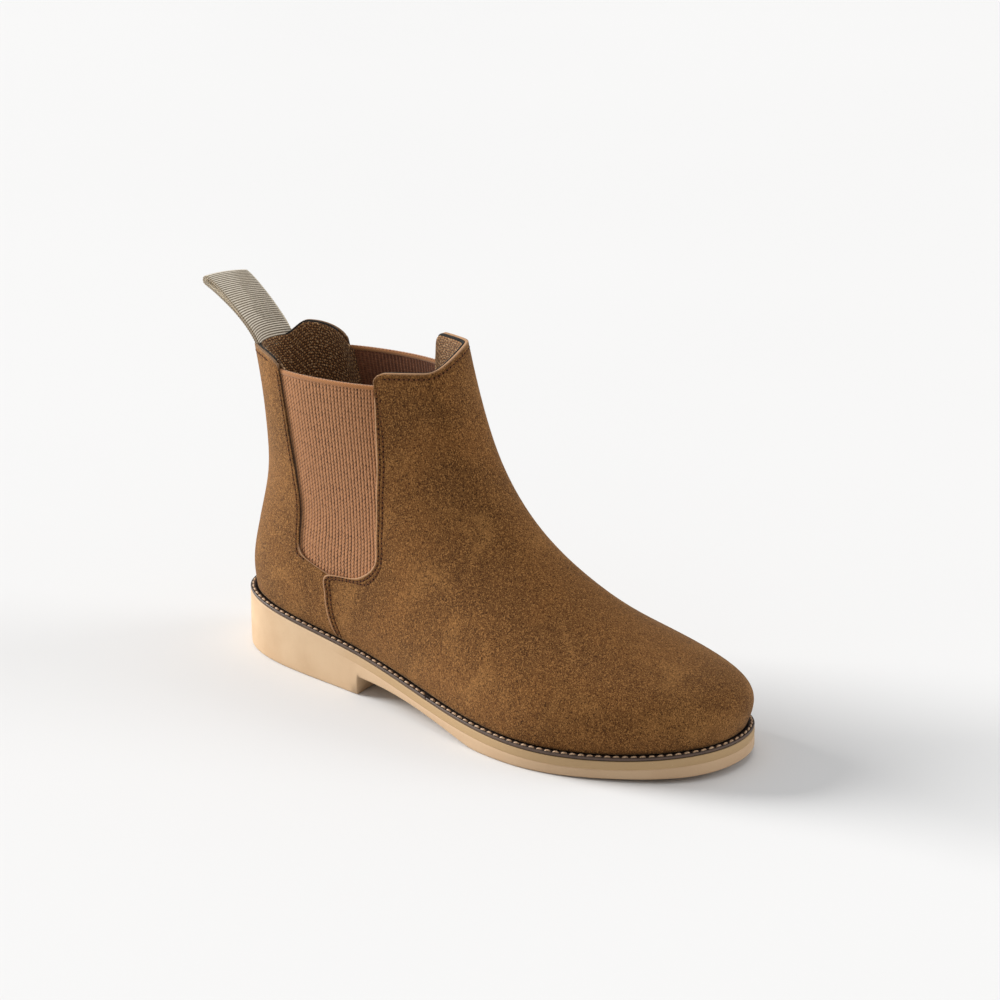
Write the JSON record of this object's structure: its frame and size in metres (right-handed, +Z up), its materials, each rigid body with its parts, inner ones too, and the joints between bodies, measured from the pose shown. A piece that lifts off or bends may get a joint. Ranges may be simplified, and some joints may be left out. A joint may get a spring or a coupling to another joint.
{
  "type": "chelsea boot",
  "caption": "Suede ankle boot with elastic side gores, a webbing pull loop at the heel and a welted rubber unit sole, for the right foot.",
  "frame": {"origin": "on the floor, at the middle of the heel's bottom face", "axes": "+X to the toe, +Y to the inner side of the foot, +Z up"},
  "size_m": [0.3175, 0.1058, 0.1869],
  "materials": {
    "suede": "napped",
    "lining": "woven",
    "elastic": "ribbed",
    "elastic_edge": "ribbed",
    "webbing": "ribbed",
    "piping": "matt",
    "edge_tape": "matt",
    "thread": "matt",
    "welt_thread": "matt",
    "welt_leather": "satin",
    "sole_rubber": "matt",
    "fibre_board": "matt",
    "stiffener": "matt",
    "cork": "matt",
    "shank_steel": "brushed",
    "pad_foam": "matt",
    "footbed_textile": "woven"
  },
  "bodies": {
    "boot": {"outsole": "sole_rubber", "shank": "shank_steel", "filler": "cork", "welt": "welt_leather", "welt_stitching": "welt_thread", "insole_board": "fibre_board", "heel_pad": "pad_foam", "footbed": "footbed_textile", "toe_puff": "stiffener", "heel_counter": "stiffener", "vamp": "suede", "quarter_lateral_lower": "suede", "quarter_medial_lower": "suede", "gore_lateral": "elastic", "gore_medial": "elastic", "gore_band_lateral": "elastic_edge", "gore_band_medial": "elastic_edge", "vamp_lining": "lining", "back_lining": "lining", "front_edge_binding": "edge_tape", "back_piping": "piping", "topline_stitching_front": "thread", "vamp_stitching_lateral": "thread", "vamp_stitching_medial": "thread"},
    "shaft_back": {"quarter_lateral_upper": "suede", "quarter_medial_upper": "suede", "back_edge_binding": "edge_tape", "pull_loop_base": "webbing", "pull_loop_stitching": "thread", "topline_stitching_back": "thread", "quarter_stitching_lateral": "thread", "quarter_stitching_medial": "thread"},
    "loop": {"pull_loop": "webbing"}
  },
  "joints": [
    {"name": "shaft_open", "type": "hinge", "parent": "boot", "child": "shaft_back", "pos_m": [-0.0336, 0, 0.0692], "axis": [0, -1, 0], "range_deg": [0, 10], "stiffness_Nm_per_rad": 2.5, "deforming": ["gore_lateral", "gore_medial", "gore_band_lateral", "gore_band_medial", "back_lining", "back_piping"]},
    {"name": "loop_fold", "type": "hinge", "parent": "shaft_back", "child": "loop", "pos_m": [-0.03168, 0, 0.15949], "axis": [0, -1, 0], "range_deg": [-65, 37], "stiffness_Nm_per_rad": 0.02}
  ]
}
